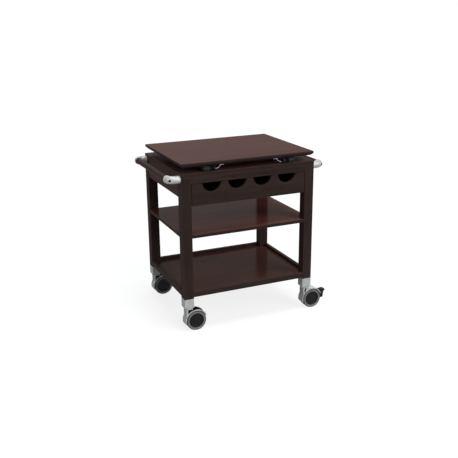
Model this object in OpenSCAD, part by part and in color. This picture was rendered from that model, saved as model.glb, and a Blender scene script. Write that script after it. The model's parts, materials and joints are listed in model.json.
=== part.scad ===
// Serving trolley on four twin-wheel castors, with a fold-over top, a drawer and two shelves.
// Origin on the floor under the middle of the body: +X to the right, +Y to the back, +Z up.

/* [Body] */
// Width of the body over the legs
body_w = 690; // [640:5:740]
// Depth of the body over the legs
body_d = 540; // [500:5:580]
// Height of the frame from the foot of the legs to the top of the fixed top
frame_h = 614; // [590:2:640]
// Side of the square legs
leg_s = 48; // [46:1:54]
// Rounding of the legs' upright edges
leg_edge_r = 2; // [1:0.5:4]
// Thickness of the fixed top
fixed_top_t = 20; // [16:1:24]
// Thickness of the aprons and of the front rail
apron_t = 20; // [14:1:22]
// Height of the side and back aprons
apron_h = 97; // [85:1:105]
// Height of the front rail above the drawer
front_rail_h = 30; // [24:1:36]

/* [Folding leaf] */
// Thickness of the folding leaf
leaf_t = 20; // [16:1:24]
// Clear height between the fixed top and the closed leaf
leaf_gap = 26; // [24:1:30]
// Rounding of the leaf's corners seen from above
leaf_corner_r = 4; // [2:0.5:10]
// Width and height of the bevel under the leaf's edges
leaf_bevel = 10; // [4:0.5:11]
// Gap between the opened leaf and the fixed top
leaf_meeting_gap = 1; // [0.8:0.1:1.6]
// Distance from the middle of the trolley to the middle of a hinge block
hinge_x = 219; // [205:1:235]
// Width of a hinge block along the pin
hinge_block_w = 28; // [24:1:30]
// Width of a hinge arm along the pin
hinge_arm_w = 21; // [16:1:24]
// Thickness of the inner ear of a hinge
hinge_ear_t = 6; // [4:0.5:8]
// Outer radius of the hinge knuckles
knuckle_r = 6.5; // [6:0.25:8]
// Radius of the hinge pins
hinge_pin_r = 2.5; // [2:0.25:3.5]
// Depth of a hinge block and arm behind the front face
hinge_depth = 32; // [28:1:40]
// Thickness of the hinge plates
hinge_plate_t = 3; // [2:0.5:4]
// Radius of the curved chrome spring beside each hinge, at its middle line
spring_r = 30; // [26:0.5:36]
// Drop of the curved chrome spring below the leaf, at its middle line
spring_drop = 18; // [14:0.5:20]
// Thickness of the curved chrome spring
spring_t = 2; // [1.5:0.25:3]
// Width of the curved chrome spring from front to back
spring_w = 8; // [6:0.5:10]
// Radius of the rubber pads under the back of the leaf
pad_r = 10; // [8:1:14]
// Distance from the leaf's ends to the outer faces of the legs
leaf_side_inset = 2; // [0:0.5:6]
// Distance from the closed leaf's back edge to the back faces of the legs
leaf_back_inset = 4; // [0:0.5:8]

/* [Shelves] */
// Height of the underside of the middle shelf above the foot of the legs
mid_shelf_z = 303; // [280:1:330]
// Thickness of the middle shelf
mid_shelf_t = 16; // [12:1:20]
// Distance from the middle shelf's ends to the outer faces of the legs
mid_shelf_side_inset = 2; // [0:0.5:8]
// Distance from the middle shelf's back edge to the back faces of the legs
mid_shelf_back_inset = 24; // [10:1:34]
// Height of the lower rails' underside above the foot of the legs
low_rail_z = 7.5; // [5:0.5:14]
// Height of the rails round the lower shelf
low_rail_h = 28; // [24:1:36]
// Thickness of the rails round the lower shelf
low_rail_t = 18; // [14:1:22]
// Thickness of the lower shelf's panel
low_panel_t = 12; // [8:1:14]
// Depth of the lower shelf's panel below the top of its rails
low_panel_drop = 15; // [6:1:15]

/* [Drawer] */
// Height of the drawer front
drawer_front_h = 102.5; // [92:0.5:108]
// Thickness of the drawer front
drawer_front_t = 18; // [14:1:20]
// Gap round the drawer front
drawer_gap = 3; // [2:0.25:4]
// Depth of the drawer box behind its front
drawer_box_d = 430; // [380:5:450]
// Height of the drawer box
drawer_box_h = 83; // [70:1:86]
// Height of the drawer box above the lower edge of its front
drawer_box_lift = 5; // [3:1:8]
// Thickness of the drawer sides
drawer_side_t = 16; // [15:0.5:18]
// Thickness of the drawer back
drawer_back_t = 12; // [9:1:16]
// Thickness of the drawer bottom
drawer_bottom_t = 6; // [4:0.5:9]
// Clearance between a drawer side and the inner face of a leg
drawer_side_gap = 9; // [7:0.5:10]
// Height of the wooden runners
runner_h = 12; // [10:0.5:16]
// Depth of the runner grooves in the drawer sides
runner_groove = 9; // [7:0.5:10]
// Clearance between a runner and its groove
runner_clear = 0.5; // [0.35:0.05:0.8]
// Width of a half-moon opening at the top edge of the drawer front
moon_w = 95; // [86:1:112]
// Depth of a half-moon opening
moon_depth = 42; // [34:1:48]
// Distance between the middles of neighbouring half-moon openings
moon_pitch = 130; // [122:1:134]

/* [Handles] */
// Radius of the wooden handle bars
bar_r = 14.5; // [13:0.25:15]
// Distance from the legs' outer faces to the axis of a handle bar
bar_offset = 50; // [44:1:56]
// Depth of the handle bars' axis below the upper face of the fixed top
bar_drop = 27; // [25:1:40]
// Outer radius of the handle elbows
elbow_r = 18; // [17.5:0.25:19.5]
// Radius of an elbow's bend at its middle line
elbow_bend_r = 26; // [22:0.5:30]
// Distance from the legs' front or back faces to an elbow
elbow_inset = 3; // [2:0.5:8]
// Length of an elbow's straight sleeve over the end of the bar
sleeve_l = 6; // [4:0.5:20]
// Radius of the bolts that hold the bars
bar_bolt_r = 3; // [2.5:0.25:4]
// Radius of the studs that hold the elbows on the legs
elbow_stud_r = 4; // [3:0.25:5]
// Length of the studs that hold the elbows on the legs
elbow_stud_l = 60; // [44:1:64]

/* [Castors] */
// Height from the floor to the foot of the legs
castor_h = 168; // [166:1:176]
// Diameter of the wheels
wheel_d = 100; // [96:1:102]
// Distance from the swivel axis to the wheel axle
castor_trail = 36; // [34:1:40]
// Height of the square sockets under the legs
socket_h = 46; // [44:1:48]
// Wall of the square sockets
socket_wall = 3; // [2:0.5:5]
// Thickness of the nylon swivel washers
washer_t = 2; // [1.5:0.25:3]
// Thickness of the hood over the wheels
hood_t = 4; // [3:0.25:5]
// Clearance between the wheels and the hood
hood_clear = 3; // [2:0.25:4]
// Width of the hood
hood_w = 46; // [44:0.5:48]
// Width of the neck that joins the hood to the swivel
neck_w = 40; // [34:0.5:42]
// Thickness of the web between the two wheels
web_t = 8; // [6:0.5:9]
// Width of one wheel
wheel_w = 17; // [15:0.5:17.5]
// Outer radius of the wheel hubs, where the tyres sit
hub_r = 44; // [42:0.5:45.5]
// Radius of the hubs' recessed faces, inside the tyres' lips
hub_face_r = 38; // [34:0.5:39]
// Radius of the wheel axles
axle_r = 4; // [3:0.25:5]
// Radius of the castor stems
stem_r = 5; // [4:0.25:5.5]
// Running clearance of pins, stems and axles in their holes
run_clear = 0.05; // [0.03:0.01:0.08]
// Width of the brake pedals
pedal_w = 22; // [16:1:26]
// Reach of the brake pedals past their pins
pedal_reach = 25; // [22:1:32]
// Thickness of a brake pedal's arm behind the wheels
pedal_arm_t = 19; // [12:1:20]

/* [Hidden] */
$fn = 64;
fit_clear = 0.1;
cut = 1;

foot_z = castor_h;
half_w = body_w / 2;
half_d = body_d / 2;
leg_x = half_w - leg_s / 2;
leg_y = half_d - leg_s / 2;
leg_in_x = half_w - leg_s;
leg_in_y = half_d - leg_s;
top_z = foot_z + frame_h;
frame_top_z = top_z - fixed_top_t;
apron_inset = 2;
rail_z = frame_top_z - front_rail_h;

leaf_z = top_z + leaf_gap;
hinge_y = -half_d - leaf_meeting_gap / 2;
hinge_z = top_z + leaf_gap / 2;
hinge_back_y = -half_d + hinge_depth;
hinge_front_y = -half_d + 1;
hinge_side_gap = 0.4;
hinge_top_clear = 1.5;
hinge_block_x = hinge_x - hinge_block_w / 2;
hinge_arm_x = hinge_block_x - hinge_side_gap - hinge_arm_w;
hinge_ear_x = hinge_arm_x - hinge_side_gap - hinge_ear_t;
hinge_out_x = hinge_x + hinge_block_w / 2;
pin_head_r = hinge_pin_r + 1.5;
pin_head_t = 1.5;
spring_x = hinge_ear_x - 4;
spring_y = -half_d + leaf_bevel + 2;
spring_z = leaf_z - spring_drop + spring_r;
spring_run = sqrt(spring_r * spring_r - (spring_r - spring_drop) * (spring_r - spring_drop));
spring_foot_t = 2;
spring_foot_l = 16;
spring_lip = 3;
pad_clear = 0.3;
pad_back = 46;

mid_z = foot_z + mid_shelf_z;
low_z = foot_z + low_rail_z;
low_panel_z = low_z + low_rail_h - low_panel_drop - low_panel_t;

drawer_top_z = rail_z - drawer_gap;
drawer_front_z = drawer_top_z - drawer_front_h;
drawer_box_y = -half_d + drawer_front_t;
drawer_box_z = drawer_front_z + drawer_box_lift;
drawer_out_x = leg_in_x - drawer_side_gap;
drawer_in_x = drawer_out_x - drawer_side_t;
drawer_groove = 5;
drawer_floor_lift = 8;
runner_z = drawer_box_z + drawer_box_h / 2 - runner_h / 2;
runner_in_x = drawer_out_x - runner_groove + runner_clear;
runner_front_y = drawer_box_y + 2;
runner_back_y = half_d - apron_inset - apron_t;
moon_count = 4;
moon_r = (moon_w * moon_w / 4 + moon_depth * moon_depth) / (2 * moon_depth);

bar_x = half_w + bar_offset;
bar_axis_z = top_z - bar_drop;
arm_y = half_d - elbow_inset - elbow_r;
bend_y = arm_y - elbow_bend_r;
bend_out_r = elbow_bend_r + elbow_r;
sleeve_end_y = bend_y - sleeve_l;
bar_end_clear = 0.5;
bar_end_y = bend_y - bar_end_clear;
bolt_head_r = 1.7 * bar_bolt_r;
bolt_head_h = 2 * bar_bolt_r;
bolt_sink = 8;
bolt_seat_y = bend_y + sqrt(bend_out_r * bend_out_r - elbow_bend_r * elbow_bend_r) - bolt_sink;
bolt_l = 60;
stud_out = bar_offset - elbow_bend_r;

wheel_r = wheel_d / 2;
hood_in_r = wheel_r + hood_clear;
hood_out_r = hood_in_r + hood_t;
hood_end_angle = 24;
hood_low_angle = 195;
web_r = hood_in_r + hood_t / 2;
socket_z = foot_z - socket_h;
socket_floor = 8;
washer_r = 20;
head_top_z = socket_z - washer_t - 0.3;
head_r = 21;
head_h = 8;
neck_lead_x = 15;
neck_trail_x = 19;
stem_flange_r = stem_r + 2.5;
stem_flange_h = 2.5;
stem_depth = 26;
stem_low_z = head_top_z - stem_depth;
stem_top_z = foot_z + 30;
flange_clear = 0.3;
web_low = 8;
axle_boss_r = 12;
wheel_in_y = web_t / 2 + 1;
wheel_out_y = wheel_in_y + wheel_w;
hub_recess = 3;
hub_wall = 4;
axle_end_y = wheel_out_y - hub_recess - hub_wall - 0.5;
tyre_round_r = 4;
pedal_pin_r = 2.5;
pedal_pin_angle = 30;
pedal_pin_x = castor_trail + hood_out_r * cos(pedal_pin_angle) + 7;
pedal_pin_z = wheel_r + hood_out_r * sin(pedal_pin_angle) + 1;
pedal_knuckle_r = 5;
pedal_ear_t = 3.5;
pedal_ear_gap = 0.4;
pedal_ear_l = 14;
tread_top = 9.5;
tread_low = 4;
tread_crown_r = 26;
tread_crown_x = 12;
shoe_z = wheel_r - 4;
shoe_h = 9;
shoe_clear = 0.4;

dark_wood = "#3a2a28";
silver = "#b4b8b4";
black = "#1c1c1c";

// The right back quarter's shape, mirrored to the left (sx = -1) or to the front (sy = -1)
module corner(sx, sy) {
    mirror([sx < 0 ? 1 : 0, 0, 0])
        mirror([0, sy < 0 ? 1 : 0, 0])
            children();
}

module side(sx) {
    mirror([sx < 0 ? 1 : 0, 0, 0])
        children();
}

// A box from its lowest to its highest corner
module block(low, high) {
    translate(low)
        cube(high - low);
}

// A rod from the origin along +X
module rod_x(r, l) {
    rotate([0, 90, 0])
        cylinder(r = r, h = l);
}

// A rod from the origin along +Y
module rod_y(r, l) {
    rotate([-90, 0, 0])
        cylinder(r = r, h = l);
}

// A rectangle with round corners, centred
module round_rect(w, d, r) {
    square([w - 2 * r, d], center = true);
    square([w, d - 2 * r], center = true);
    for (x = [-1, 1], y = [-1, 1])
        translate([x * (w / 2 - r), y * (d / 2 - r)])
            circle(r = r);
}

// The space that a leg takes out of a shelf, with its fitting clearance
module leg_space(z, h) {
    for (sx = [-1, 1], sy = [-1, 1])
        corner(sx, sy)
            block([leg_in_x - fit_clear, leg_in_y - fit_clear, z - cut],
                  [half_w + cut, half_d + cut, z + h + cut]);
}

module leg(sx, sy) {
    color(dark_wood)
    corner(sx, sy)
    difference() {
        union() {
            translate([leg_x, leg_y, foot_z])
                linear_extrude(frame_top_z - foot_z)
                    round_rect(leg_s, leg_s, leg_edge_r);
            block([leg_in_x + socket_wall + fit_clear, leg_in_y + socket_wall + fit_clear,
                   socket_z + socket_floor],
                  [half_w - socket_wall - fit_clear, half_d - socket_wall - fit_clear,
                   foot_z + cut]);
        }
        translate([leg_x, leg_y, socket_z])
            cylinder(r = stem_r + fit_clear, h = stem_top_z - socket_z + cut);
        translate([half_w + stud_out - elbow_stud_l - cut, arm_y, bar_axis_z])
            rod_x(elbow_stud_r + fit_clear, elbow_stud_l);
    }
}

module side_apron(sx) {
    color(dark_wood)
    side(sx)
        block([half_w - apron_inset - apron_t, -leg_in_y, frame_top_z - apron_h],
              [half_w - apron_inset, leg_in_y, frame_top_z]);
}

module back_apron() {
    color(dark_wood)
        block([-leg_in_x, half_d - apron_inset - apron_t, frame_top_z - apron_h],
              [leg_in_x, half_d - apron_inset, frame_top_z]);
}

module front_rail() {
    color(dark_wood)
        block([-leg_in_x, -half_d, rail_z], [leg_in_x, -half_d + apron_t, frame_top_z]);
}

module fixed_top() {
    color(dark_wood)
        translate([0, 0, frame_top_z])
            linear_extrude(fixed_top_t)
                round_rect(body_w, body_d, leg_edge_r);
}

module middle_shelf() {
    color(dark_wood)
    difference() {
        block([-half_w + mid_shelf_side_inset, -half_d, mid_z],
              [half_w - mid_shelf_side_inset, half_d - mid_shelf_back_inset, mid_z + mid_shelf_t]);
        leg_space(mid_z, mid_shelf_t);
    }
}

module lower_panel() {
    color(dark_wood)
    difference() {
        block([-half_w + low_rail_t, -half_d + low_rail_t, low_panel_z],
              [half_w - low_rail_t, half_d - low_rail_t, low_panel_z + low_panel_t]);
        leg_space(low_panel_z, low_panel_t);
    }
}

// A lower rail along the front (sy = -1) or the back
module lower_long_rail(sy) {
    color(dark_wood)
    corner(1, sy)
        block([-leg_in_x, half_d - low_rail_t, low_z], [leg_in_x, half_d, low_z + low_rail_h]);
}

module lower_side_rail(sx) {
    color(dark_wood)
    side(sx)
        block([half_w - low_rail_t, -leg_in_y, low_z], [half_w, leg_in_y, low_z + low_rail_h]);
}

module handle_bar(sx) {
    color(dark_wood)
    side(sx)
    difference() {
        translate([bar_x, -bar_end_y, bar_axis_z])
            rod_y(bar_r, 2 * bar_end_y);
        for (sy = [-1, 1])
            corner(1, sy)
                translate([bar_x, bolt_seat_y - bolt_l - cut, bar_axis_z])
                    rod_y(bar_bolt_r + fit_clear, bolt_l);
    }
}

// A tube elbow: an arm from the leg, a quarter bend and a sleeve over the end of the bar
module elbow(sx, sy) {
    color(silver)
    corner(sx, sy)
    difference() {
        union() {
            translate([half_w, arm_y, bar_axis_z])
                rod_x(elbow_r, bar_offset - elbow_bend_r);
            translate([bar_x - elbow_bend_r, bend_y, bar_axis_z])
                rotate_extrude(angle = 90)
                    translate([elbow_bend_r, 0])
                        circle(r = elbow_r);
            translate([bar_x, sleeve_end_y, bar_axis_z])
                rod_y(elbow_r, sleeve_l);
        }
        translate([bar_x, sleeve_end_y - cut, bar_axis_z])
            rod_y(bar_r + fit_clear, sleeve_l + cut);
        translate([bar_x, sleeve_end_y, bar_axis_z])
            rod_y(bar_bolt_r + fit_clear, bend_out_r);
        translate([bar_x, bolt_seat_y, bar_axis_z])
            rod_y(bolt_head_r + fit_clear, bend_out_r);
        translate([half_w - cut, arm_y, bar_axis_z])
            rod_x(elbow_stud_r + fit_clear, stud_out + cut);
    }
}

module bar_bolts() {
    color(black)
    for (sx = [-1, 1], sy = [-1, 1])
        corner(sx, sy) {
            translate([bar_x, bolt_seat_y - bolt_l, bar_axis_z])
                rod_y(bar_bolt_r, bolt_l);
            translate([bar_x, bolt_seat_y, bar_axis_z])
                rod_y(bolt_head_r, bolt_head_h);
        }
}

module elbow_studs() {
    color(silver)
    for (sx = [-1, 1], sy = [-1, 1])
        corner(sx, sy)
            translate([half_w + stud_out - elbow_stud_l, arm_y, bar_axis_z])
                rod_x(elbow_stud_r, elbow_stud_l);
}

module drawer_runner(sx) {
    color(dark_wood)
    side(sx)
        block([runner_in_x, runner_front_y, runner_z],
              [leg_in_x, runner_back_y, runner_z + runner_h]);
}

// A flat cheek of a hinge, with its round nose about the pin
module hinge_cheek(x, w, low, high) {
    translate([x, hinge_y, hinge_z])
        rod_x(knuckle_r, w);
    block([x, hinge_y, hinge_z - knuckle_r], [x + w, hinge_back_y, hinge_z + knuckle_r]);
    block([x, hinge_front_y, low], [x + w, hinge_back_y, high]);
}

module hinge_base(sx) {
    color(black)
    side(sx)
    difference() {
        union() {
            hinge_cheek(hinge_block_x, hinge_block_w, top_z, leaf_z - hinge_top_clear);
            hinge_cheek(hinge_ear_x, hinge_ear_t, top_z, leaf_z - hinge_top_clear);
            block([hinge_ear_x, hinge_front_y, top_z],
                  [hinge_out_x, hinge_back_y, top_z + hinge_plate_t]);
        }
        translate([hinge_ear_x - cut, hinge_y, hinge_z])
            rod_x(hinge_pin_r + run_clear, hinge_out_x - hinge_ear_x + 2 * cut);
    }
}

module hinge_arm(sx) {
    color(black)
    side(sx)
    difference() {
        hinge_cheek(hinge_arm_x, hinge_arm_w, top_z + hinge_plate_t + hinge_top_clear, leaf_z);
        translate([hinge_arm_x - cut, hinge_y, hinge_z])
            rod_x(hinge_pin_r + run_clear, hinge_arm_w + 2 * cut);
    }
}

module hinge_pins() {
    color(silver)
    for (sx = [-1, 1])
        side(sx) {
            translate([hinge_ear_x, hinge_y, hinge_z])
                rod_x(hinge_pin_r, hinge_out_x - hinge_ear_x + pin_head_t);
            translate([hinge_out_x, hinge_y, hinge_z])
                rod_x(pin_head_r, pin_head_t);
        }
}

module leaf_pads() {
    color(black)
    for (sx = [-1, 1])
        translate([sx * hinge_x, half_d - pad_back, top_z])
            cylinder(r = pad_r, h = leaf_gap - pad_clear);
}

// A square bar turned on its edge, to cut a bevel of width c along an edge that runs along X
module bevel_cut(l, c) {
    rotate([45, 0, 0])
        cube([l, c * sqrt(2), c * sqrt(2)], center = true);
}

module folding_leaf() {
    leaf_w = body_w - 2 * leaf_side_inset;
    leaf_d = body_d - leaf_back_inset;
    color(dark_wood)
    translate([0, -leaf_back_inset / 2, leaf_z])
    difference() {
        linear_extrude(leaf_t)
            round_rect(leaf_w, leaf_d, leaf_corner_r);
        for (s = [-1, 1]) {
            translate([0, s * leaf_d / 2, 0])
                bevel_cut(leaf_w + 2 * cut, leaf_bevel);
            translate([s * leaf_w / 2, 0, 0])
                rotate([0, 0, 90])
                    bevel_cut(leaf_d + 2 * cut, leaf_bevel);
        }
    }
}

// Curved leaf springs: a flat foot under the leaf and an arc down towards the fixed top
module leaf_springs() {
    color(silver)
    for (sx = [-1, 1])
        side(sx) {
            block([spring_x - spring_run - spring_foot_l, spring_y, leaf_z - spring_foot_t],
                  [spring_x - spring_run + spring_t, spring_y + spring_w, leaf_z]);
            intersection() {
                translate([spring_x, spring_y + spring_w, spring_z])
                    rotate([90, 0, 0])
                        rotate([0, 0, 180])
                            rotate_extrude(angle = 90)
                                translate([spring_r - spring_t / 2, 0])
                                    square([spring_t, spring_w]);
                block([spring_x - spring_r, spring_y - cut, leaf_z - leaf_gap],
                      [spring_x, spring_y + spring_w + cut, leaf_z]);
            }
            block([spring_x - fit_clear, spring_y, leaf_z - spring_drop - spring_t / 2],
                  [spring_x + spring_lip, spring_y + spring_w,
                   leaf_z - spring_drop + spring_t / 2]);
        }
}

module drawer_front() {
    front_w = 2 * (leg_in_x - drawer_gap);
    color(dark_wood)
    difference() {
        block([-front_w / 2, -half_d, drawer_front_z], [front_w / 2, drawer_box_y, drawer_top_z]);
        for (i = [0 : moon_count - 1])
            translate([(i - (moon_count - 1) / 2) * moon_pitch, -half_d - cut,
                       drawer_top_z - moon_depth + moon_r])
                rod_y(moon_r, drawer_front_t + 2 * cut);
        block([-drawer_in_x - drawer_groove, drawer_box_y - drawer_groove,
               drawer_box_z + drawer_floor_lift],
              [drawer_in_x + drawer_groove, drawer_box_y + cut,
               drawer_box_z + drawer_floor_lift + drawer_bottom_t]);
    }
}

module drawer_side(sx) {
    color(dark_wood)
    side(sx)
    difference() {
        block([drawer_in_x, drawer_box_y, drawer_box_z],
              [drawer_out_x, drawer_box_y + drawer_box_d, drawer_box_z + drawer_box_h]);
        block([drawer_out_x - runner_groove, drawer_box_y - cut, runner_z - runner_clear],
              [drawer_out_x + cut, drawer_box_y + drawer_box_d + cut,
               runner_z + runner_h + runner_clear]);
        block([drawer_in_x - cut, drawer_box_y - cut, drawer_box_z + drawer_floor_lift],
              [drawer_in_x + drawer_groove, drawer_box_y + drawer_box_d + cut,
               drawer_box_z + drawer_floor_lift + drawer_bottom_t]);
    }
}

module drawer_back() {
    color(dark_wood)
        block([-drawer_in_x, drawer_box_y + drawer_box_d - drawer_back_t,
               drawer_box_z + drawer_floor_lift + drawer_bottom_t],
              [drawer_in_x, drawer_box_y + drawer_box_d, drawer_box_z + drawer_box_h]);
}

module drawer_bottom() {
    color(dark_wood)
        block([-drawer_in_x - drawer_groove, drawer_box_y - drawer_groove,
               drawer_box_z + drawer_floor_lift],
              [drawer_in_x + drawer_groove, drawer_box_y + drawer_box_d,
               drawer_box_z + drawer_floor_lift + drawer_bottom_t]);
}

module castor_sockets() {
    color(silver)
    for (sx = [-1, 1], sy = [-1, 1])
        corner(sx, sy)
        difference() {
            translate([leg_x, leg_y, socket_z])
                linear_extrude(socket_h)
                    round_rect(leg_s, leg_s, leg_edge_r);
            block([leg_in_x + socket_wall, leg_in_y + socket_wall, socket_z + socket_floor],
                  [half_w - socket_wall, half_d - socket_wall, foot_z + cut]);
            translate([leg_x, leg_y, socket_z - cut])
                cylinder(r = stem_r + fit_clear, h = socket_floor + 2 * cut);
        }
}

module castor_stems() {
    color(silver)
    for (sx = [-1, 1], sy = [-1, 1])
        translate([sx * leg_x, sy * leg_y, stem_low_z]) {
            cylinder(r = stem_r, h = stem_top_z - stem_low_z);
            cylinder(r = stem_flange_r, h = stem_flange_h);
        }
}

module swivel_washers() {
    color("white")
    for (sx = [-1, 1], sy = [-1, 1])
        translate([sx * leg_x, sy * leg_y, socket_z - washer_t])
            difference() {
                cylinder(r = washer_r, h = washer_t);
                translate([0, 0, -cut])
                    cylinder(r = stem_r + fit_clear, h = washer_t + 2 * cut);
            }
}

// Moves a castor's parts from its swivel axis to its place; the wheels trail to the right
module castor(sx, sy) {
    translate([sx * leg_x, sy * leg_y, 0])
        children();
}

// A round plate square to the axle, centred on it
module axle_disc(r, w) {
    translate([castor_trail, -w / 2, wheel_r])
        rod_y(r, w);
}

// Part of a ring round the axle, between two angles measured up from the trailing side
module axle_arc(r_in, r_out, w, from_angle, to_angle) {
    translate([castor_trail, w / 2, wheel_r])
        rotate([90, 0, 0])
            rotate([0, 0, from_angle])
                rotate_extrude(angle = to_angle - from_angle)
                    translate([r_in, 0])
                        square([r_out - r_in, w]);
}

// One casting: head, neck, hood and the web that holds the axle; ears where a brake is fitted
module housing(sx, sy, brake) {
    color(silver)
    castor(sx, sy)
    difference() {
        union() {
            translate([0, 0, head_top_z - head_h])
                cylinder(r = head_r, h = head_h);
            difference() {
                block([-neck_lead_x, -neck_w / 2, wheel_r],
                      [neck_trail_x, neck_w / 2, head_top_z - head_h / 2]);
                axle_disc(web_r, neck_w + 2 * cut);
            }
            axle_arc(hood_in_r, hood_out_r, hood_w, hood_end_angle, hood_low_angle);
            intersection() {
                axle_disc(web_r, web_t);
                block([-hood_out_r, -web_t, wheel_r - web_low],
                      [castor_trail + hood_out_r, web_t, head_top_z]);
            }
            axle_disc(axle_boss_r, web_t);
            if (brake)
                for (s = [-1, 1])
                    pedal_ear(s);
        }
        axle_disc(axle_r + run_clear, hood_w);
        translate([0, 0, wheel_r])
            cylinder(r = stem_r + run_clear, h = head_top_z - wheel_r + cut);
        translate([0, 0, wheel_r])
            cylinder(r = stem_flange_r + flange_clear,
                     h = stem_low_z + stem_flange_h + flange_clear - wheel_r);
    }
}

module pedal_ear(s) {
    y = s > 0 ? pedal_w / 2 + pedal_ear_gap : -pedal_w / 2 - pedal_ear_gap - pedal_ear_t;
    difference() {
        union() {
            translate([pedal_pin_x, y, pedal_pin_z])
                rod_y(pedal_knuckle_r, pedal_ear_t);
            block([pedal_pin_x - pedal_ear_l, y, pedal_pin_z - pedal_knuckle_r],
                  [pedal_pin_x, y + pedal_ear_t, pedal_pin_z + pedal_knuckle_r]);
        }
        translate([pedal_pin_x, y - cut, pedal_pin_z])
            rod_y(pedal_pin_r + run_clear, pedal_ear_t + 2 * cut);
        axle_disc(hood_in_r, hood_w);
    }
}

// The wheel axle, and beside a brake the pedal's pin
module axle(sx, sy, brake) {
    pin_l = pedal_w + 2 * pedal_ear_gap + 2 * pedal_ear_t;
    color(silver)
    castor(sx, sy) {
        axle_disc(axle_r, 2 * axle_end_y);
        if (brake)
            translate([pedal_pin_x, -pin_l / 2, pedal_pin_z])
                rod_y(pedal_pin_r, pin_l);
    }
}

// Turns a section drawn as (radius, distance from the middle) about the axle, on both sides
module twin_wheel() {
    for (s = [-1, 1])
        translate([castor_trail, 0, wheel_r])
            rotate([-90 * s, 0, 0])
                rotate_extrude()
                    children();
}

module hubs(sx, sy) {
    face_y = wheel_out_y - hub_recess;
    color(black)
    castor(sx, sy)
        twin_wheel()
            polygon([
                [axle_r + run_clear, wheel_in_y],
                [hub_r, wheel_in_y],
                [hub_r, face_y],
                [0, face_y],
                [0, face_y - hub_wall],
                [axle_r + run_clear, face_y - hub_wall]
            ]);
}

module tyres(sx, sy) {
    face_y = wheel_out_y - hub_recess;
    round_x = wheel_r - tyre_round_r;
    color("dimgray")
    castor(sx, sy)
        twin_wheel()
            difference() {
                union() {
                    translate([hub_r, wheel_in_y])
                        square([round_x - hub_r, wheel_w]);
                    translate([hub_r, wheel_in_y + tyre_round_r])
                        square([wheel_r - hub_r, wheel_w - 2 * tyre_round_r]);
                    for (y = [wheel_in_y + tyre_round_r, wheel_out_y - tyre_round_r])
                        translate([round_x, y])
                            circle(r = tyre_round_r);
                    translate([hub_face_r, face_y])
                        square([round_x - hub_face_r, hub_recess]);
                }
                translate([0, wheel_in_y - cut])
                    square([hub_r, face_y - wheel_in_y + cut]);
            }
}

// A crowned foot tread, with an arm down behind the wheels that ends in the brake shoe
module brake_pedal(sx, sy) {
    tread_top_z = pedal_pin_z + tread_top;
    arm_out_x = pedal_pin_x + pedal_arm_t;
    color(black)
    castor(sx, sy)
    difference() {
        union() {
            translate([pedal_pin_x, -pedal_w / 2, pedal_pin_z])
                rod_y(pedal_knuckle_r, pedal_w);
            intersection() {
                translate([pedal_pin_x + tread_crown_x, -pedal_w / 2, tread_top_z - tread_crown_r])
                    rod_y(tread_crown_r, pedal_w);
                block([pedal_pin_x, -pedal_w / 2, pedal_pin_z - tread_low],
                      [pedal_pin_x + pedal_reach, pedal_w / 2, tread_top_z]);
            }
            block([pedal_pin_x, -pedal_w / 2, shoe_z - shoe_h / 2],
                  [arm_out_x, pedal_w / 2, pedal_pin_z]);
            block([castor_trail, -pedal_w / 2, shoe_z - shoe_h / 2],
                  [arm_out_x, pedal_w / 2, shoe_z + shoe_h / 2]);
        }
        translate([pedal_pin_x, -pedal_w, pedal_pin_z])
            rod_y(pedal_pin_r + run_clear, 2 * pedal_w);
        axle_disc(wheel_r + shoe_clear, 2 * pedal_w);
        axle_disc(web_r + shoe_clear, web_t + 2 * shoe_clear);
    }
}

leg(-1, -1);  // leg_front_left
leg(1, -1);  // leg_front_right
leg(-1, 1);  // leg_back_left
leg(1, 1);  // leg_back_right
side_apron(-1);  // side_apron_left
side_apron(1);  // side_apron_right
back_apron();
front_rail();
fixed_top();
middle_shelf();
lower_panel();
lower_long_rail(-1);  // lower_rail_front
lower_long_rail(1);  // lower_rail_back
lower_side_rail(-1);  // lower_rail_left
lower_side_rail(1);  // lower_rail_right
handle_bar(-1);  // handle_bar_left
handle_bar(1);  // handle_bar_right
elbow(-1, -1);  // elbow_front_left
elbow(1, -1);  // elbow_front_right
elbow(-1, 1);  // elbow_back_left
elbow(1, 1);  // elbow_back_right
bar_bolts();
elbow_studs();
drawer_runner(-1);  // drawer_runner_left
drawer_runner(1);  // drawer_runner_right
hinge_base(-1);  // hinge_base_left
hinge_base(1);  // hinge_base_right
hinge_pins();
leaf_pads();
castor_sockets();
castor_stems();
swivel_washers();
folding_leaf();
hinge_arm(-1);  // hinge_arm_left
hinge_arm(1);  // hinge_arm_right
leaf_springs();
drawer_front();
drawer_side(-1);  // drawer_side_left
drawer_side(1);  // drawer_side_right
drawer_back();
drawer_bottom();
housing(-1, -1, false);  // housing_front_left
housing(1, -1, true);  // housing_front_right
housing(-1, 1, false);  // housing_back_left
housing(1, 1, true);  // housing_back_right
axle(-1, -1, false);  // axle_front_left
axle(1, -1, true);  // axle_front_right
axle(-1, 1, false);  // axle_back_left
axle(1, 1, true);  // axle_back_right
hubs(-1, -1);  // hubs_front_left
hubs(1, -1);  // hubs_front_right
hubs(-1, 1);  // hubs_back_left
hubs(1, 1);  // hubs_back_right
tyres(-1, -1);  // tyres_front_left
tyres(1, -1);  // tyres_front_right
tyres(-1, 1);  // tyres_back_left
tyres(1, 1);  // tyres_back_right
brake_pedal(1, -1);  // brake_pedal_front
brake_pedal(1, 1);  // brake_pedal_back
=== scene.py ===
import json
import math
import bmesh
import bpy
from mathutils import Matrix, Vector

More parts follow.
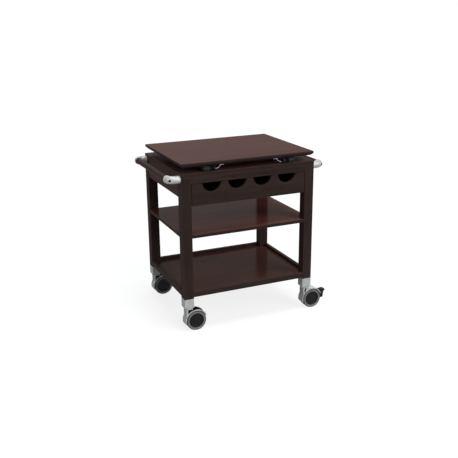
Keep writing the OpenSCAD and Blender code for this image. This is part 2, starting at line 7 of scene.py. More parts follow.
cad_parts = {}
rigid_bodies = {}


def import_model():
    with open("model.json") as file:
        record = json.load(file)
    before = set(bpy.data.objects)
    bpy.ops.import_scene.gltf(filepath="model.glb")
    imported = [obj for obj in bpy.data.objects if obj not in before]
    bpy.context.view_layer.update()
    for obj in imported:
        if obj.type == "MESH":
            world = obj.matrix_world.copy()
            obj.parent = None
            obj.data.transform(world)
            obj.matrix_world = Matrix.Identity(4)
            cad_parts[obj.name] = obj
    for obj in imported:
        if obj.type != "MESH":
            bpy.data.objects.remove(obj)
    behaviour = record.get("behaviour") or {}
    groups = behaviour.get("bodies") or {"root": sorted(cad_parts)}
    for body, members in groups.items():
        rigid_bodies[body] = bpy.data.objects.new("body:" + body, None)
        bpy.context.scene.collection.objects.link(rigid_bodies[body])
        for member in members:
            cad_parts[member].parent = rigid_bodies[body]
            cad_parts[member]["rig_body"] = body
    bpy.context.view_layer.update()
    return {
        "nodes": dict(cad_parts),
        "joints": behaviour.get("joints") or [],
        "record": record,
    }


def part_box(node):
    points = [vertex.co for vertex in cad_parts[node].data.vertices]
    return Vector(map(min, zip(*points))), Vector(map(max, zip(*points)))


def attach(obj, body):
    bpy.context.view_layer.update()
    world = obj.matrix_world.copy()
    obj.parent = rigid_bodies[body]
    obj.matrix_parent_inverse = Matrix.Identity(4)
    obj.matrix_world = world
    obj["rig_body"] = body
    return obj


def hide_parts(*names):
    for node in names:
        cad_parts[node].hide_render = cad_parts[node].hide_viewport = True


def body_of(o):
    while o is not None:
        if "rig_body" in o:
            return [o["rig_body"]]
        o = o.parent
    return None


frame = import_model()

MM = 0.001
X, Y, Z = Vector((1, 0, 0)), Vector((0, 1, 0)), Vector((0, 0, 1))
SIDES = ("left", "right")
CORNERS = ("front_left", "front_right", "back_left", "back_right")
BRAKES = {"brake_pedal_front": "front_right", "brake_pedal_back": "back_right"}


# Node helpers for the finishes

def new_material(name):
    material = bpy.data.materials.new(name)
    material.use_nodes = True
    return material, material.node_tree, material.node_tree.nodes["Principled BSDF"]


def add_node(tree, kind, **settings):
    node = tree.nodes.new(kind)
    for key, value in settings.items():
        setattr(node, key, value)
    return node


def object_place(tree, scale=(1, 1, 1)):
    """The place on the piece in metres, stretched by scale."""
    place = add_node(tree, "ShaderNodeTexCoord")
    mapping = add_node(tree, "ShaderNodeMapping")
    mapping.inputs["Scale"].default_value = scale
    tree.links.new(place.outputs["Object"], mapping.inputs["Vector"])
    return mapping.outputs["Vector"]


def noise(tree, place, scale, detail=4, roughness=0.55, distortion=0.0):
    node = add_node(tree, "ShaderNodeTexNoise")
    node.inputs["Scale"].default_value = scale
    node.inputs["Detail"].default_value = detail
    node.inputs["Roughness"].default_value = roughness
    node.inputs["Distortion"].default_value = distortion
    tree.links.new(place, node.inputs["Vector"])
    return node.outputs["Fac"]


def ramp(tree, value, *stops):
    """A colour ramp with stops given as (place, (red, green, blue))."""
    node = add_node(tree, "ShaderNodeValToRGB")
    elements = node.color_ramp.elements
    while len(elements) < len(stops):
        elements.new(0.5)
    for element, (place, colour) in zip(elements, stops):
        element.position = place
        element.color = (*colour, 1)
    tree.links.new(value, node.inputs["Fac"])
    return node.outputs["Color"]


def spread(tree, value, low, high, from_low=0.3, from_high=0.7):
    """Stretches a value's range to another range, and stops at its ends."""
    node = add_node(tree, "ShaderNodeMapRange")
    numbers = {"From Min": from_low, "From Max": from_high, "To Min": low, "To Max": high}
    for key, number in numbers.items():
        node.inputs[key].default_value = number
    tree.links.new(value, node.inputs["Value"])
    return node.outputs["Result"]


def blend_colours(tree, share, first, second):
    """first where share is 0, second where it is 1; either is a colour or a node's output."""
    node = add_node(tree, "ShaderNodeMix", data_type="RGBA")
    tree.links.new(share, node.inputs["Factor"])
    for socket, colour in ((node.inputs[6], first), (node.inputs[7], second)):
        if isinstance(colour, tuple):
            socket.default_value = (*colour, 1)
        else:
            tree.links.new(colour, socket)
    return node.outputs[2]


def scaled(colour, factor):
    """A colour made darker or lighter by a factor."""
    return tuple(factor * c for c in colour)


def add_bump(tree, shader, *layers):
    """Stacks bump layers, each given as (height, strength, distance in metres)."""
    below = None
    for height, strength, distance in layers:
        node = add_node(tree, "ShaderNodeBump")
        node.inputs["Strength"].default_value = strength
        node.inputs["Distance"].default_value = distance
        tree.links.new(height, node.inputs["Height"])
        if below is not None:
            tree.links.new(below, node.inputs["Normal"])
        below = node.outputs["Normal"]
    tree.links.new(below, shader.inputs["Normal"])


def edge_wear(tree, low, high):
    """Near 1 on sharp outer edges, where the finish is rubbed thin."""
    geometry = add_node(tree, "ShaderNodeNewGeometry")
    return spread(tree, geometry.outputs["Pointiness"], 0, 1, low, high)


# The finishes, in linear colours

WORN_WOOD = (0.085, 0.055, 0.048)


def stained_wood(name, grain, stains, gloss, roughness=(0.44, 0.56)):
    """Open-pored wood under satin lacquer; its grain runs along axis 0, 1 or 2."""
    material, tree, shader = new_material(name)
    figure_scale, pore_scale = [16, 16, 16], [520, 520, 520]
    figure_scale[grain], pore_scale[grain] = 1.4, 16
    figure = noise(tree, object_place(tree, figure_scale), 1.0, 6, 0.62, 0.8)
    pores = noise(tree, object_place(tree, pore_scale), 1.0, 3, 0.6)
    cloud = noise(tree, object_place(tree), 3.0, 2)
    dark, middle, light = stains
    stain = ramp(tree, figure, (0.28, dark), (0.52, middle), (0.74, light))
    stain = blend_colours(tree, spread(tree, cloud, 0.0, 0.4), stain, light)
    stain = blend_colours(tree, spread(tree, pores, 0.5, 0.0, 0.30, 0.46), stain,
                          scaled(dark, 0.4))
    stain = blend_colours(tree, edge_wear(tree, 0.53, 0.60), stain, WORN_WOOD)
    tree.links.new(stain, shader.inputs["Base Color"])
    tree.links.new(spread(tree, figure, *roughness), shader.inputs["Roughness"])
    shader.inputs["Specular IOR Level"].default_value = gloss
    add_bump(tree, shader, (pores, 0.22, 0.00012), (figure, 0.12, 0.0004))
    return material


def cast_silver(name, dark, light, metal_share, gloss):
    """Zinc castings under satin silver lacquer, with the fine grain of the blasted skin."""
    material, tree, shader = new_material(name)
    grain = noise(tree, object_place(tree), 1400, 2)
    cloud = noise(tree, object_place(tree), 38, 4)
    silver = ramp(tree, cloud, (0.3, dark), (0.7, light))
    silver = blend_colours(tree, edge_wear(tree, 0.53, 0.62), silver, scaled(light, 1.04))
    tree.links.new(silver, shader.inputs["Base Color"])
    shader.inputs["Metallic"].default_value = metal_share
    shader.inputs["Specular IOR Level"].default_value = gloss
    tree.links.new(spread(tree, cloud, 0.36, 0.48), shader.inputs["Roughness"])
    add_bump(tree, shader, (grain, 0.12, 0.00006), (cloud, 0.1, 0.0003))
    return material


def bare_metal(name, colour, roughness, marks_strength):
    """Turned or plated metal with the fine marks of its making."""
    material, tree, shader = new_material(name)
    marks = noise(tree, object_place(tree, (900, 60, 900)), 1.0, 3)
    shade = blend_colours(tree, spread(tree, marks, 0, 1), scaled(colour, 0.8), colour)
    tree.links.new(shade, shader.inputs["Base Color"])
    shader.inputs["Metallic"].default_value = 1.0
    tree.links.new(spread(tree, marks, 0.75 * roughness, 1.25 * roughness),
                   shader.inputs["Roughness"])
    add_bump(tree, shader, (marks, marks_strength, 0.00004))
    return material


def powder_coat(name, colour, rubbed, gloss):
    """Powder-coated steel with an orange-peel skin, rubbed lighter along its edges."""
    material, tree, shader = new_material(name)
    peel = noise(tree, object_place(tree), 900, 2)
    cloud = noise(tree, object_place(tree), 45, 3)
    coat = blend_colours(tree, spread(tree, cloud, 0, 0.6), colour, scaled(colour, 1.5))
    coat = blend_colours(tree, edge_wear(tree, 0.54, 0.64), coat, rubbed)
    tree.links.new(coat, shader.inputs["Base Color"])
    tree.links.new(spread(tree, cloud, 0.42, 0.58), shader.inputs["Roughness"])
    shader.inputs["Specular IOR Level"].default_value = gloss
    add_bump(tree, shader, (peel, 0.25, 0.00008))
    return material


def moulded(name, colour, roughness, dust, dust_share):
    """Moulded plastic or rubber with a fine grained skin and a little dust in places."""
    material, tree, shader = new_material(name)
    skin = noise(tree, object_place(tree), 1800, 2)
    cloud = noise(tree, object_place(tree), 60, 4)
    shade = blend_colours(tree, spread(tree, cloud, 0, dust_share), colour, dust)
    tree.links.new(shade, shader.inputs["Base Color"])
    tree.links.new(spread(tree, cloud, roughness - 0.06, roughness + 0.08),
                   shader.inputs["Roughness"])
    shader.inputs["Specular IOR Level"].default_value = 0.15
    add_bump(tree, shader, (skin, 0.25, 0.00007))
    return material


FRAME_STAINS = ((0.032, 0.0210, 0.0190), (0.045, 0.0300, 0.0270), (0.062, 0.0410, 0.0360))
# BOARD_STAINS is a lighter copy of FRAME_STAINS: a board's flat faces carry it as painted
# light, its edges the frame's stain as painted shade.
BOARD_STAINS = ((0.049, 0.0200, 0.0150), (0.067, 0.0270, 0.0205), (0.087, 0.0350, 0.0265))
# SHELF_LIT_STAINS and MIDDLE_LIT_STAINS are lighter, redder copies of the board stain: painted
# light and a painted reddish reflection on shelves that lie in the boards' shade. The middle
# shelf, deepest in that shade, gets the lightest copy.
SHELF_LIT_STAINS = ((0.066, 0.0300, 0.0240), (0.090, 0.0405, 0.0330), (0.115, 0.0520, 0.0420))
MIDDLE_LIT_STAINS = ((0.098, 0.0330, 0.0264), (0.134, 0.0446, 0.0363), (0.170, 0.0572, 0.0462))
SIDE_STAINS = ((0.060, 0.0340, 0.0300), (0.085, 0.0480, 0.0420), (0.110, 0.0620, 0.0540))
BAR_STAINS = ((0.040, 0.022, 0.018), (0.055, 0.030, 0.024), (0.072, 0.040, 0.032))
WOOD = [stained_wood("frame_wood_along_" + axis, i, FRAME_STAINS, 0.008)
        for i, axis in enumerate("xyz")]
TOP_WOOD = stained_wood("top_wood", 0, BOARD_STAINS, 0.014)
SHELF_LIT_WOOD = stained_wood("lower_shelf_lit_wood", 0, SHELF_LIT_STAINS, 0.0035, (0.13, 0.20))
MIDDLE_LIT_WOOD = stained_wood("middle_shelf_lit_wood", 0, MIDDLE_LIT_STAINS, 0.0035, (0.13, 0.20))
SIDE_WOOD = stained_wood("side_wood", 1, SIDE_STAINS, 0.008)
BAR_WOOD = stained_wood("bar_wood", 1, BAR_STAINS, 0.01)
SILVER = cast_silver("cast_silver", (0.55, 0.565, 0.547), (0.71, 0.723, 0.708), 0.04, 0.06)
ELBOW_SILVER = cast_silver("elbow_silver", (0.45, 0.46, 0.45), (0.60, 0.61, 0.60), 0.35, 0.08)
STEEL = bare_metal("turned_steel", (0.55, 0.55, 0.54), 0.32, 0.2)
DARK_STEEL = bare_metal("blackened_steel", (0.05, 0.05, 0.05), 0.4, 0.2)
CHROME = bare_metal("polished_chrome", (0.62, 0.63, 0.64), 0.12, 0.0)
BLACK_METAL = powder_coat("black_coat", (0.004, 0.004, 0.004), (0.015, 0.015, 0.015), 0.015)
HINGE_GREY = powder_coat("grey_coat", (0.018, 0.020, 0.018), (0.06, 0.065, 0.06), 0.06)
PAD_RUBBER = moulded("pad_rubber", (0.02, 0.02, 0.02), 0.7, (0.08, 0.08, 0.08), 0.2)
TYRE_GREY = moulded("tyre_grey", (0.140, 0.141, 0.139), 0.66, (0.21, 0.20, 0.19), 0.3)
LIP_GREY = moulded("lip_grey", (0.250, 0.253, 0.249), 0.5, (0.31, 0.31, 0.30), 0.3)
HUB_BLACK = moulded("hub_black", (0.0075, 0.0078, 0.0075), 0.55, (0.02, 0.02, 0.02), 0.25)
PEDAL_BLACK = moulded("pedal_black", (0.006, 0.006, 0.006), 0.42, (0.03, 0.03, 0.03), 0.2)
NYLON = moulded("nylon", (0.6, 0.6, 0.56), 0.45, (0.4, 0.4, 0.36), 0.2)


# Mesh helpers

def bevel(bm, edges, width, segments=2, clamp=True):
    bmesh.ops.bevel(bm, geom=edges, offset=width, offset_type="OFFSET", segments=segments,
                    profile=0.5, affect="EDGES", clamp_overlap=clamp, material=-1)


def sharp_edges(bm, angle=30.0):
    return [e for e in bm.edges
            if len(e.link_faces) == 2 and e.calc_face_angle() > math.radians(angle)]


def box(bm, low, high):
    """A plain box; returns its corners."""
    verts = bmesh.ops.create_cube(bm, size=1)["verts"]
    bmesh.ops.scale(bm, vec=high - low, verts=verts)
    bmesh.ops.translate(bm, vec=(low + high) / 2, verts=verts)
    return verts


def edges_of(verts):
    return list({e for v in verts for e in v.link_edges})


def soft_box(bm, low, high, arris, segments=2):
    """A box with all its edges rounded by arris."""
    bevel(bm, edges_of(box(bm, low, high)), arris, segments)


def plate(bm, outline, thickness):
    """A plate from a flat outline of points, pushed along the vector thickness."""
    face = bm.faces.new([bm.verts.new(p) for p in outline])
    pushed = bmesh.ops.extrude_face_region(bm, geom=[face])["geom"]
    verts = [g for g in pushed if isinstance(g, bmesh.types.BMVert)]
    bmesh.ops.translate(bm, vec=thickness, verts=verts)
    bmesh.ops.recalc_face_normals(bm, faces=bm.faces[:])


def rounded(outline, radii, steps=3):
    """A closed outline of (a, b) points with an arc at each corner that has a radius."""
    result = []
    for i, (point, radius) in enumerate(zip(outline, radii)):
        here = Vector(point)
        back = Vector(outline[i - 1]) - here
        on = Vector(outline[(i + 1) % len(outline)]) - here
        if not radius:
            result.append(here)
            continue
        reach = min(radius / math.tan(back.angle(on) / 2), 0.48 * back.length, 0.48 * on.length)
        first, last = here + reach * back.normalized(), here + reach * on.normalized()
        for k in range(steps + 1):
            t = k / steps
            result.append((1 - t) ** 2 * first + 2 * t * (1 - t) * here + t * t * last)
    return result


def turned(bm, outline, centre, axis, side, angle=360.0, steps=72):
    """Turns a closed outline of (radius, place along the axis) points about the axis."""
    old = set(bm.faces)
    verts = [bm.verts.new(centre + r * side + t * axis) for r, t in outline]
    edges = [bm.edges.new(pair) for pair in zip(verts, verts[1:] + verts[:1])]
    bmesh.ops.spin(bm, geom=verts + edges, cent=centre, axis=axis, angle=math.radians(angle),
                   steps=steps, use_merge=angle == 360.0, use_duplicate=False)
    faces = [f for f in bm.faces if f not in old]
    if angle == 360.0:
        bmesh.ops.remove_doubles(bm, verts=list({v for f in faces for v in f.verts}), dist=1e-7)
        lone = [e for e in bm.edges if not e.link_faces]
        bmesh.ops.delete(bm, geom=lone, context="EDGES")
    else:
        ends = [e for e in {e for f in faces for e in f.edges} if len(e.link_faces) == 1]
        bmesh.ops.holes_fill(bm, edges=ends, sides=0)


def join(bm, part):
    """Adds one mesh to another."""
    mesh = bpy.data.meshes.new("joined")
    part.to_mesh(mesh)
    part.free()
    bm.from_mesh(mesh)
    bpy.data.meshes.remove(mesh)


def edge_band(bm, width):
    """A narrow ring inside the edge of each wide face, so that edge wear stays there."""
    faces = [f for f in bm.faces
             if f.calc_area() > 4 * width * max(e.calc_length() for e in f.edges)]
    bmesh.ops.inset_individual(bm, faces=faces, thickness=width, use_even_offset=True)


def finish_piece(bm, name, material, node, smooth_angle=35.0):
    """Makes the mesh a piece that stands for the CAD node and moves with its body."""
    bmesh.ops.recalc_face_normals(bm, faces=bm.faces[:])
    mesh = bpy.data.meshes.new(name)
    bm.to_mesh(mesh)
    bm.free()
    for one in material if isinstance(material, tuple) else (material,):
        mesh.materials.append(one)
    mesh.shade_smooth()
    mesh.set_sharp_from_angle(angle=math.radians(smooth_angle))
    piece = bpy.data.objects.new(name, mesh)
    bpy.context.scene.collection.objects.link(piece)
    piece.modifiers.new("even_shading", "WEIGHTED_NORMAL").keep_sharp = True
    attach(piece, body_of(frame["nodes"][node])[0])
    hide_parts(node)
    return piece


def cad_copy(node):
    """The CAD node's mesh with its doubles merged and its flat faces whole."""
    bm = bmesh.new()
    bm.from_mesh(frame["nodes"][node].data)
    bmesh.ops.remove_doubles(bm, verts=bm.verts[:], dist=1e-6)
    bmesh.ops.dissolve_limit(bm, angle_limit=math.radians(0.3), verts=bm.verts[:],
                             edges=bm.edges[:])
    return bm


def softened(node, material, width, segments=2):
    """The CAD node with its sharp edges rounded by width."""
    bm = cad_copy(node)
    bevel(bm, sharp_edges(bm, 40), width, segments, clamp=False)
    finish_piece(bm, node + "_finished", material, node)


def paint(node, material):
    """Gives a CAD node that keeps its own shape its finish."""
    materials = frame["nodes"][node].data.materials
    for i in range(len(materials)):
        materials[i] = material


# The woodwork

ARRIS = 1.0 * MM
FRONT_ARRIS = 1.2 * MM
LEG_ARRIS = 1.4 * MM
WOOD_BAND = 1.5 * MM
SOCKET_BAND, NECK_BAND = 1.0 * MM, 0.4 * MM
LEAF_CORNER = 5 * MM
LEAF_BEVEL = 10 * MM
FOOT_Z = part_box("castor_sockets")[1].z


def shaded_board_edges(bm):
    """Paints a flat board's upright and sloping faces in the frame's darker stain and its flat
    faces in the lighter board stain: painted shade on the edges and bevels, painted light on
    the top.
    """
    for face in bm.faces:
        face.material_index = int(abs(face.normal.z) < 0.9)


def board(node, wood, arris=ARRIS, foot_z=None):
    """A straight board with eased arrises, above foot_z where that is given."""
    low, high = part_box(node)
    if foot_z:
        low.z = foot_z
    bm = bmesh.new()
    soft_box(bm, low, high, arris)
    edge_band(bm, WOOD_BAND)
    finish_piece(bm, node + "_board", wood, node)


def top_leaf():
    """The folding leaf: rounded corners, a small arris above and a broad bevel below."""
    low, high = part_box("folding_leaf")
    middle, half = (low + high) / 2, (high - low) / 2
    corners = [(-half.x, -half.y), (half.x, -half.y), (half.x, half.y), (-half.x, half.y)]
    bevel_z = low.z + LEAF_BEVEL
    bm = bmesh.new()
    plate(bm, [Vector((middle.x + p.x, middle.y + p.y, bevel_z))
               for p in rounded(corners, [LEAF_CORNER] * 4, 4)], (high.z - bevel_z) * Z)
    under = [f for f in bm.faces if all(v.co.z < bevel_z + ARRIS for v in f.verts)]
    pushed = bmesh.ops.extrude_face_region(bm, geom=under)["geom"]
    bmesh.ops.delete(bm, geom=under, context="FACES_ONLY")
    rim = [g for g in pushed if isinstance(g, bmesh.types.BMVert)]
    bmesh.ops.scale(bm, vec=(1 - LEAF_BEVEL / half.x, 1 - LEAF_BEVEL / half.y, 1),
                    space=Matrix.Translation(-middle), verts=rim)
    bmesh.ops.translate(bm, vec=-LEAF_BEVEL * Z, verts=rim)
    upper = [e for e in sharp_edges(bm, 40) if e.verts[0].co.z > bevel_z - ARRIS]
    bevel(bm, upper, FRONT_ARRIS, 3)
    edge_band(bm, WOOD_BAND)
    shaded_board_edges(bm)
    finish_piece(bm, "folding_leaf_board", (TOP_WOOD, WOOD[0]), "folding_leaf")


def fixed_top():
    """The fixed top, with the side aprons' stain on its two ends."""
    bm = bmesh.new()
    soft_box(bm, *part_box("fixed_top"), LEG_ARRIS)
    edge_band(bm, WOOD_BAND)
    shaded_board_edges(bm)
    for face in bm.faces:
        if abs(face.normal.x) > 0.9:
            face.material_index = 2
    finish_piece(bm, "fixed_top_board", (TOP_WOOD, WOOD[0], SIDE_WOOD), "fixed_top")


def notched_board(node, wood):
    """A shelf board with its corners cut out round the legs."""
    low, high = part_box(node)
    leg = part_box("leg_back_right")[0]
    outline = []
    for sx, sy in ((-1, -1), (1, -1), (1, 1), (-1, 1)):
        edge_x, edge_y = (low.x, high.x)[sx > 0], (low.y, high.y)[sy > 0]
        notch = [(edge_x, sy * leg.y), (sx * leg.x, sy * leg.y), (sx * leg.x, edge_y)]
        outline += notch if sx * sy > 0 else notch[::-1]
    bm = bmesh.new()
    plate(bm, [Vector((x, y, low.z)) for x, y in outline], (high.z - low.z) * Z)
    bevel(bm, sharp_edges(bm), ARRIS)
    edge_band(bm, WOOD_BAND)
    shaded_board_edges(bm)
    finish_piece(bm, node + "_board", (wood, WOOD[0]), node)


MOON_WIDTH, MOON_DEPTH = 95 * MM, 42 * MM
MOON_RADIUS = (MOON_WIDTH ** 2 / 4 + MOON_DEPTH ** 2) / (2 * MOON_DEPTH)


def moon_edge(middle_x, top_z, y, steps=28):
    """Points round a half-moon opening, from its right end down and up to its left end."""
    half_angle = math.asin(MOON_WIDTH / 2 / MOON_RADIUS)
    centre_z = top_z - MOON_DEPTH + MOON_RADIUS
    for k in range(steps + 1):
        a = half_angle * (1 - 2 * k / steps)
        yield Vector((middle_x + MOON_RADIUS * math.sin(a), y,
                      centre_z - MOON_RADIUS * math.cos(a)))


def drawer_face():
    """The drawer front with its four half-moon openings along the top edge."""
    low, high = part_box("drawer_front")
    moons = [o["box_m"] for o in frame["record"]["physics"]["openings"] if "moon" in o["name"]]
    outline = [Vector((low.x, low.y, low.z)), Vector((high.x, low.y, low.z)),
               Vector((high.x, low.y, high.z))]
    for left, right in sorted(((b[0][0], b[1][0]) for b in moons), reverse=True):
        outline += moon_edge((left + right) / 2, high.z, low.y)
    outline.append(Vector((low.x, low.y, high.z)))
    bm = bmesh.new()
    plate(bm, outline, (high.y - low.y) * Y)
    bevel(bm, sharp_edges(bm), FRONT_ARRIS)
    edge_band(bm, WOOD_BAND)
    finish_piece(bm, "drawer_front_board", WOOD[0], "drawer_front", 25.0)


def handle_bar(node):
    """A turned bar with an arris at each end."""
    low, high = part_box(node)
    radius, half = (high.z - low.z) / 2, (high.y - low.y) / 2
    outline = rounded([(0, -half), (radius, -half), (radius, half), (0, half)],
                      (0, ARRIS, ARRIS, 0))
    bm = bmesh.new()
    turned(bm, outline, (low + high) / 2, Y, X)
    finish_piece(bm, node + "_turned", BAR_WOOD, node)


def woodwork():
    """All the wooden pieces, each in its own stain and grain."""
    for corner in CORNERS:
        board("leg_" + corner, WOOD[2], LEG_ARRIS, FOOT_Z)
    for node in ("back_apron", "front_rail", "lower_rail_front", "lower_rail_back",
                 "drawer_back", "drawer_bottom"):
        board(node, WOOD[0])
    for side in SIDES:
        board("side_apron_" + side, SIDE_WOOD)
        for node in ("lower_rail_", "drawer_runner_"):
            board(node + side, WOOD[1])
        softened("drawer_side_" + side, WOOD[1], 0.8 * MM)
        handle_bar("handle_bar_" + side)
    fixed_top()
    notched_board("middle_shelf", MIDDLE_LIT_WOOD)
    notched_board("lower_panel", SHELF_LIT_WOOD)
    top_leaf()
    drawer_face()


# The handles and the hinges

def handle_metal():
    for corner in CORNERS:
        softened("elbow_" + corner, ELBOW_SILVER, 0.25 * MM)
    softened("bar_bolts", BLACK_METAL, 0.5 * MM)
    paint("elbow_studs", STEEL)


def hinges():
    for side in SIDES:
        softened("hinge_base_" + side, HINGE_GREY, 0.8 * MM)
        softened("hinge_arm_" + side, BLACK_METAL, 0.8 * MM)
    softened("leaf_springs", CHROME, 0.4 * MM)
    softened("leaf_pads", PAD_RUBBER, 1.5 * MM, 3)
    softened("hinge_pins", DARK_STEEL, 0.4 * MM)


# The castors, in the CAD's own sizes

AXLE_Z = 50 * MM
TRAIL = 36 * MM
TREAD_R = 50 * MM
HUB_R = 44 * MM
FACE_R = 38 * MM
WHEEL_IN, WHEEL_OUT = 5 * MM, 22 * MM
FACE_OUT = WHEEL_OUT - 3 * MM
HOOD_IN, HOOD_OUT = 53 * MM, 57 * MM
HOOD_HALF = 23 * MM
WEB_R = (HOOD_IN + HOOD_OUT) / 2
WEB_HALF = 4 * MM
HOOD_FROM, HOOD_TO = 24, 195
HEAD_R = 21 * MM
HEAD_H = 8 * MM
NECK_LEAD, NECK_TRAIL = 15 * MM, 19 * MM
NECK_HALF = 20 * MM
CHEEK_T = 5 * MM
STRAP_T = 4 * MM
HOOD_RIM = 4.5 * MM
EAR_R, EAR_T, EAR_IN = 5 * MM, 3.5 * MM, 11.4 * MM
STEM_BORE_R, AXLE_BORE_R = 5.2 * MM, 4.1 * MM
BOSS_R = 12.5 * MM
TREAD_TOP, CROWN_R, CROWN_X = 9.5 * MM, 26 * MM, 12 * MM
ARM_TAPER = 5 * MM
RIB_COUNT, RIB_FIRST, RIB_STEP = 4, 4 * MM, 5.5 * MM
RIB_HALF, RIB_RISE, RIB_INSET = 0.8 * MM, 0.7 * MM, 2 * MM
WEB_FROM, WEB_SWEEP = -8, 196


def swivel(corner):
    """The castor's swivel axis at the floor: the middle of its leg."""
    low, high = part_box("leg_" + corner)
    return Vector(((low.x + high.x) / 2, (low.y + high.y) / 2, 0))


def axle_point(corner):
    return swivel(corner) + Vector((TRAIL, 0, AXLE_Z))


def tyres(corner):
    """Two soft grey treads, each with a groove between its tread and its side."""
    outline = rounded([
        (HUB_R, WHEEL_IN), (48 * MM, WHEEL_IN), (TREAD_R, 8.5 * MM), (TREAD_R, 18.5 * MM),
        (48.6 * MM, 21 * MM), (47.2 * MM, WHEEL_OUT), (45.6 * MM, WHEEL_OUT),
        (45.2 * MM, 21.1 * MM), (HUB_R, 21.1 * MM)],
        [r * MM for r in (0, 1.5, 3, 3, 2, 0.6, 0.3, 0, 0)])
    bm = bmesh.new()
    for s in (-1, 1):
        turned(bm, outline, axle_point(corner), s * Y, X, steps=96)
    finish_piece(bm, "tyres_" + corner + "_treads", TYRE_GREY, "tyres_" + corner, 25.0)
    lip = rounded([
        (HUB_R, FACE_OUT), (HUB_R, 21.4 * MM), (43 * MM, WHEEL_OUT), (39.6 * MM, WHEEL_OUT),
        (FACE_R, 21 * MM), (FACE_R, FACE_OUT)],
        [r * MM for r in (0, 0.3, 0.8, 0.8, 0.6, 0)])
    bm = bmesh.new()
    for s in (-1, 1):
        turned(bm, lip, axle_point(corner), s * Y, X, steps=96)
    finish_piece(bm, "tyres_" + corner + "_lips", LIP_GREY, "tyres_" + corner, 25.0)


def hubs(corner):
    """Dished dark hubs: a rim, a step, a sloping dish and a round cap over the axle."""
    outline = [(r * MM, t * MM) for r, t in (
        (4.1, 5), (43.9, 5), (43.9, 19), (37, 19), (35.5, 17.6), (33, 17.2), (31.5, 18),
        (29.5, 18), (28, 17), (15, 16.2), (13.5, 17), (12.5, 18.4), (0, 18.8), (0, 15),
        (4.1, 15))]
    bm = bmesh.new()
    for s in (-1, 1):
        turned(bm, rounded(outline, [0, 0, 0, 0] + [0.6 * MM] * 8 + [0] * 3, 2),
               axle_point(corner), s * Y, X, steps=96)
    finish_piece(bm, "hubs_" + corner + "_dished", HUB_BLACK, "hubs_" + corner, 25.0)


def arc_point(corner, radius, degrees, y):
    """A point round the axle, its angle measured up from the trailing side."""
    a = math.radians(degrees)
    return axle_point(corner) + Vector((radius * math.cos(a), y, radius * math.sin(a)))


def hood(bm, corner, braked):
    """The band over the wheels with rims at its sides; where no brake is, the sunk middle of
    its top is painted black as painted shade, for the shade under the trolley.
    """
    first = math.radians(HOOD_FROM)
    side = Vector((math.cos(first), 0, math.sin(first)))
    rim = HOOD_HALF - HOOD_RIM
    sunk = HOOD_OUT - 0.8 * MM
    outline = rounded([
        (HOOD_IN, -HOOD_HALF), (HOOD_OUT, -HOOD_HALF), (HOOD_OUT, -rim), (sunk, -rim + MM),
        (sunk, rim - MM), (HOOD_OUT, rim), (HOOD_OUT, HOOD_HALF), (HOOD_IN, HOOD_HALF)],
        [r * MM for r in (1, 1.6, 0.8, 0.6, 0.6, 0.8, 1.6, 1)])
    part = bmesh.new()
    axle = axle_point(corner)
    turned(part, outline, axle, -Y, side, HOOD_TO - HOOD_FROM, 90)
    shade_strip_half = rim - 0.5 * MM
    # Painted shade: black on the sunk middle of an unbraked hood's top, where the trolley above
    # shades it.
    for face in part.faces:
        arm = face.calc_center_median() - axle
        outward = Vector((arm.x, 0, arm.z)).length > WEB_R and arm.x > -NECK_TRAIL
        face.material_index = int(not braked and outward and abs(arm.y) < shade_strip_half)
    join(bm, part)


def pocket(bm, normal, low, high, depth):
    """Sinks a pocket into the faces that look along normal, between two corners, and paints its
    floor black as painted shade.
    """
    across = [i for i in range(3) if abs(normal[i]) < 0.5]
    for i in across:
        for place in (low, high):
            bmesh.ops.bisect_plane(bm, geom=bm.verts[:] + bm.edges[:] + bm.faces[:], dist=1e-7,
                                   plane_co=place, plane_no=(X, Y, Z)[i])
    faces = []
    for face in bm.faces:
        middle = face.calc_center_median()
        if face.normal.dot(normal) > 0.9 and all(low[i] < middle[i] < high[i] for i in across):
            faces.append(face)
    bmesh.ops.inset_region(bm, faces=faces, thickness=0.5 * MM, depth=-depth,
                           use_even_offset=True)
    # Painted shade: the pocket's floor takes the black coat.
    for face in faces:
        face.material_index = 1


def neck_plate(corner, y, thickness, profile, soft):
    """A plate of the neck from a profile of (place ahead of the swivel, height) points."""
    part = bmesh.new()
    centre = swivel(corner)
    plate(part, [Vector((centre.x + x, centre.y + y, z)) for x, z in profile], thickness * Y)
    bevel(part, sharp_edges(part, 40), soft)
    edge_band(part, NECK_BAND)
    return part


def hood_line(first, last):
    """Points along the middle of the hood's thickness between two places beside the swivel."""
    steps = max(1, round((last - first) / (3 * MM)))
    for k in range(steps + 1):
        x = first + (last - first) * k / steps
        yield x, AXLE_Z + math.sqrt(WEB_R ** 2 - (x - TRAIL) ** 2)


